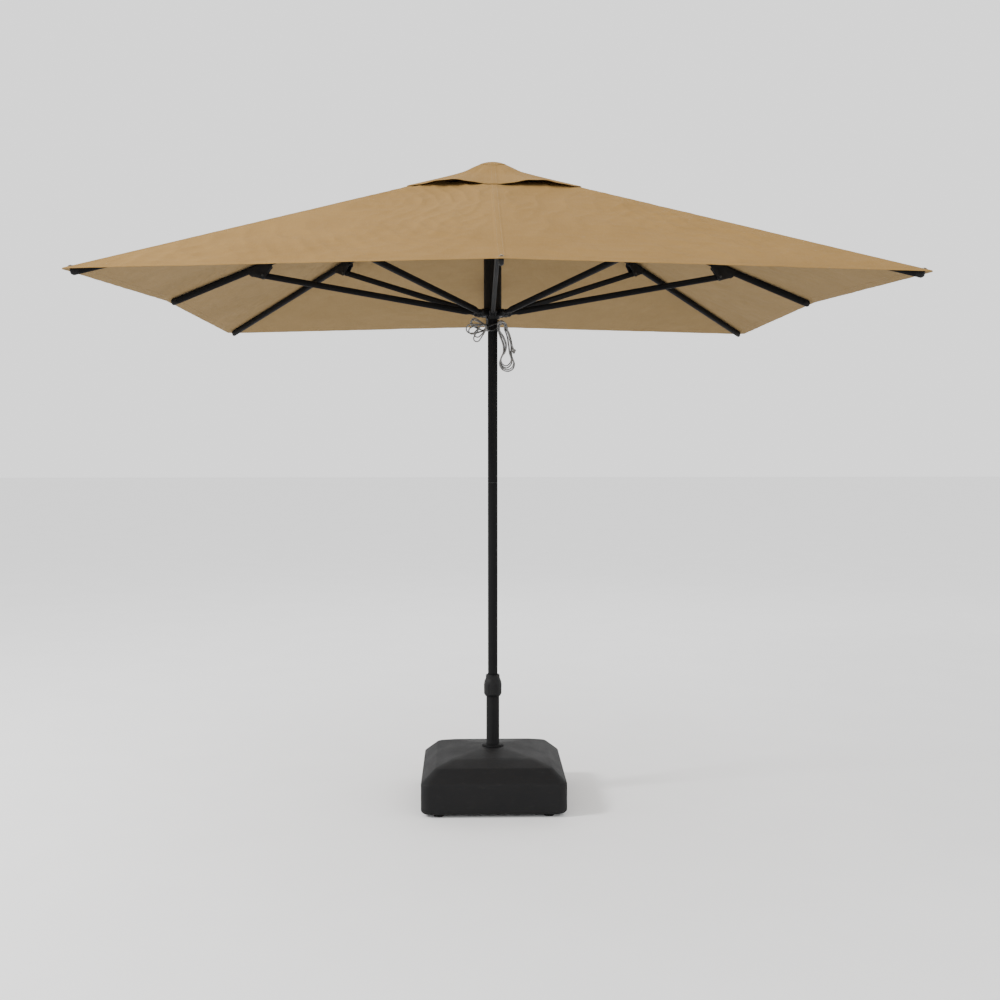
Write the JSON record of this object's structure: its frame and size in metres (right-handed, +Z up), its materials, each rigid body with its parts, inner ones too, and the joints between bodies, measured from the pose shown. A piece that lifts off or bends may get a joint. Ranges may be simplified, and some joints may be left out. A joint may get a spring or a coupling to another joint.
{
  "type": "patio umbrella",
  "caption": "Square centre-pole patio umbrella: ribbed fabric canopy with a vent cap, rope-lift runner and struts, on a square weighted base with a clamped socket tube.",
  "frame": {"origin": "on the pole's axis at the floor, under the feet", "axes": "+Z up the pole, -Y the front, +X the right side; the canopy's sides are parallel to X and Y"},
  "size_m": [2.5, 2.5, 2.4652],
  "materials": {
    "base_plastic": "matte",
    "ballast": "matte",
    "foot_rubber": "matte",
    "socket_steel": "satin",
    "black_plastic": "satin",
    "frame_metal": "satin",
    "bare_metal": "satin",
    "bare_steel": "satin",
    "sheave_nylon": "satin",
    "canopy_fabric": "matte",
    "rope": "matte"
  },
  "bodies": {
    "base": {"base_shell": "base_plastic", "base_plate": "base_plastic", "ballast_block": "ballast", "foot_front_left": "foot_rubber", "foot_front_right": "foot_rubber", "foot_back_left": "foot_rubber", "foot_back_right": "foot_rubber", "socket_tube": "socket_steel", "tube_flange": "socket_steel"},
    "collar": {"twist_collar": "black_plastic"},
    "bush": {"reducer_bush": "black_plastic"},
    "pole": {"lower_pole": "frame_metal", "pole_joiner": "bare_metal", "upper_pole": "frame_metal", "hub": "black_plastic", "hub_pivot_ring": "bare_steel", "hub_cap": "black_plastic", "sheave_axle": "bare_steel", "canopy": "canopy_fabric", "vent_cap": "canopy_fabric", "lift_rope": "rope"},
    "sheave": {"lift_sheave": "sheave_nylon"},
    "runner": {"runner": "black_plastic", "rope_tail": "rope", "rope_hank": "rope", "rope_bow": "rope"},
    "rib_right": {"rib_right": "frame_metal", "rib_tip_right": "black_plastic", "bracket_right": "black_plastic"},
    "strut_right": {"strut_right": "frame_metal"},
    "rib_back_right": {"rib_back_right": "frame_metal", "rib_tip_back_right": "black_plastic", "bracket_back_right": "black_plastic"},
    "strut_back_right": {"strut_back_right": "frame_metal"},
    "rib_back": {"rib_back": "frame_metal", "rib_tip_back": "black_plastic", "bracket_back": "black_plastic"},
    "strut_back": {"strut_back": "frame_metal"},
    "rib_back_left": {"rib_back_left": "frame_metal", "rib_tip_back_left": "black_plastic", "bracket_back_left": "black_plastic"},
    "strut_back_left": {"strut_back_left": "frame_metal"},
    "rib_left": {"rib_left": "frame_metal", "rib_tip_left": "black_plastic", "bracket_left": "black_plastic"},
    "strut_left": {"strut_left": "frame_metal"},
    "rib_front_left": {"rib_front_left": "frame_metal", "rib_tip_front_left": "black_plastic", "bracket_front_left": "black_plastic"},
    "strut_front_left": {"strut_front_left": "frame_metal"},
    "rib_front": {"rib_front": "frame_metal", "rib_tip_front": "black_plastic", "bracket_front": "black_plastic"},
    "strut_front": {"strut_front": "frame_metal"},
    "rib_front_right": {"rib_front_right": "frame_metal", "rib_tip_front_right": "black_plastic", "bracket_front_right": "black_plastic"},
    "strut_front_right": {"strut_front_right": "frame_metal"}
  },
  "joints": [
    {"name": "collar_twist", "type": "hinge", "parent": "base", "child": "collar", "pos_m": [0, 0, 0.445], "axis": [0, 0, 1], "range_deg": [0, 120]},
    {"name": "pole_turn", "type": "hinge", "parent": "base", "child": "bush", "pos_m": [0, 0, 0.27], "axis": [0, 0, 1], "continuous": true},
    {"name": "pole_lift", "type": "slide", "parent": "bush", "child": "pole", "axis": [0, 0, 1], "range_m": [0, 0.42]},
    {"name": "sheave_spin", "type": "hinge", "parent": "pole", "child": "sheave", "pos_m": [0, 0, 2.378], "axis": [-0.7071, 0.7071, 0], "continuous": true},
    {"name": "runner_slide", "type": "slide", "parent": "pole", "child": "runner", "axis": [0, 0, -1], "range_m": [0, 1.214], "deforming": ["canopy", "vent_cap", "lift_rope", "rope_tail", "rope_hank", "rope_bow"]},
    {"name": "rib_fold_right", "type": "hinge", "parent": "pole", "child": "rib_right", "pos_m": [0.046, 0, 2.418], "axis": [0, 1, 0], "range_deg": [0, 61.38]},
    {"name": "strut_fold_right", "type": "hinge", "parent": "rib_right", "child": "strut_right", "pos_m": [0.88023, 0, 2.03559], "axis": [0, -1, 0], "range_deg": [0, 140.41]},
    {"name": "rib_fold_back_right", "type": "hinge", "parent": "pole", "child": "rib_back_right", "pos_m": [0.03253, 0.03253, 2.418], "axis": [-0.7071, 0.7071, 0], "range_deg": [0, 66.66]},
    {"name": "strut_fold_back_right", "type": "hinge", "parent": "rib_back_right", "child": "strut_back_right", "pos_m": [0.62678, 0.62678, 2.12282], "axis": [0.7071, -0.7071, 0], "range_deg": [0, 138.33]},
    {"name": "rib_fold_back", "type": "hinge", "parent": "pole", "child": "rib_back", "pos_m": [0, 0.046, 2.418], "axis": [-1, 0, 0], "range_deg": [0, 61.38]},
    {"name": "strut_fold_back", "type": "hinge", "parent": "rib_back", "child": "strut_back", "pos_m": [0, 0.88023, 2.03559], "axis": [1, 0, 0], "range_deg": [0, 140.41]},
    {"name": "rib_fold_back_left", "type": "hinge", "parent": "pole", "child": "rib_back_left", "pos_m": [-0.03253, 0.03253, 2.418], "axis": [-0.7071, -0.7071, 0], "range_deg": [0, 66.66]},
    {"name": "strut_fold_back_left", "type": "hinge", "parent": "rib_back_left", "child": "strut_back_left", "pos_m": [-0.62678, 0.62678, 2.12282], "axis": [0.7071, 0.7071, 0], "range_deg": [0, 138.33]},
    {"name": "rib_fold_left", "type": "hinge", "parent": "pole", "child": "rib_left", "pos_m": [-0.046, 0, 2.418], "axis": [0, -1, 0], "range_deg": [0, 61.38]},
    {"name": "strut_fold_left", "type": "hinge", "parent": "rib_left", "child": "strut_left", "pos_m": [-0.88023, 0, 2.03559], "axis": [0, 1, 0], "range_deg": [0, 140.41]},
    {"name": "rib_fold_front_left", "type": "hinge", "parent": "pole", "child": "rib_front_left", "pos_m": [-0.03253, -0.03253, 2.418], "axis": [0.7071, -0.7071, 0], "range_deg": [0, 66.66]},
    {"name": "strut_fold_front_left", "type": "hinge", "parent": "rib_front_left", "child": "strut_front_left", "pos_m": [-0.62678, -0.62678, 2.12282], "axis": [-0.7071, 0.7071, 0], "range_deg": [0, 138.33]},
    {"name": "rib_fold_front", "type": "hinge", "parent": "pole", "child": "rib_front", "pos_m": [0, -0.046, 2.418], "axis": [1, 0, 0], "range_deg": [0, 61.38]},
    {"name": "strut_fold_front", "type": "hinge", "parent": "rib_front", "child": "strut_front", "pos_m": [0, -0.88023, 2.03559], "axis": [-1, 0, 0], "range_deg": [0, 140.41]},
    {"name": "rib_fold_front_right", "type": "hinge", "parent": "pole", "child": "rib_front_right", "pos_m": [0.03253, -0.03253, 2.418], "axis": [0.7071, 0.7071, 0], "range_deg": [0, 66.66]},
    {"name": "strut_fold_front_right", "type": "hinge", "parent": "rib_front_right", "child": "strut_front_right", "pos_m": [0.62678, -0.62678, 2.12282], "axis": [-0.7071, -0.7071, 0], "range_deg": [0, 138.33]}
  ],
  "couplings": [
    {"joint": "sheave_spin", "follows": "runner_slide", "rad_per_m": 41.667},
    {"joint": "rib_fold_right", "follows": "runner_slide", "rad_per_m": 0.88235},
    {"joint": "strut_fold_right", "follows": "runner_slide", "rad_per_m": 2.0186},
    {"joint": "rib_fold_back_right", "follows": "runner_slide", "rad_per_m": 0.95816},
    {"joint": "strut_fold_back_right", "follows": "runner_slide", "rad_per_m": 1.9886},
    {"joint": "rib_fold_back", "follows": "runner_slide", "rad_per_m": 0.88235},
    {"joint": "strut_fold_back", "follows": "runner_slide", "rad_per_m": 2.0186},
    {"joint": "rib_fold_back_left", "follows": "runner_slide", "rad_per_m": 0.95816},
    {"joint": "strut_fold_back_left", "follows": "runner_slide", "rad_per_m": 1.9886},
    {"joint": "rib_fold_left", "follows": "runner_slide", "rad_per_m": 0.88235},
    {"joint": "strut_fold_left", "follows": "runner_slide", "rad_per_m": 2.0186},
    {"joint": "rib_fold_front_left", "follows": "runner_slide", "rad_per_m": 0.95816},
    {"joint": "strut_fold_front_left", "follows": "runner_slide", "rad_per_m": 1.9886},
    {"joint": "rib_fold_front", "follows": "runner_slide", "rad_per_m": 0.88235},
    {"joint": "strut_fold_front", "follows": "runner_slide", "rad_per_m": 2.0186},
    {"joint": "rib_fold_front_right", "follows": "runner_slide", "rad_per_m": 0.95816},
    {"joint": "strut_fold_front_right", "follows": "runner_slide", "rad_per_m": 1.9886}
  ]
}
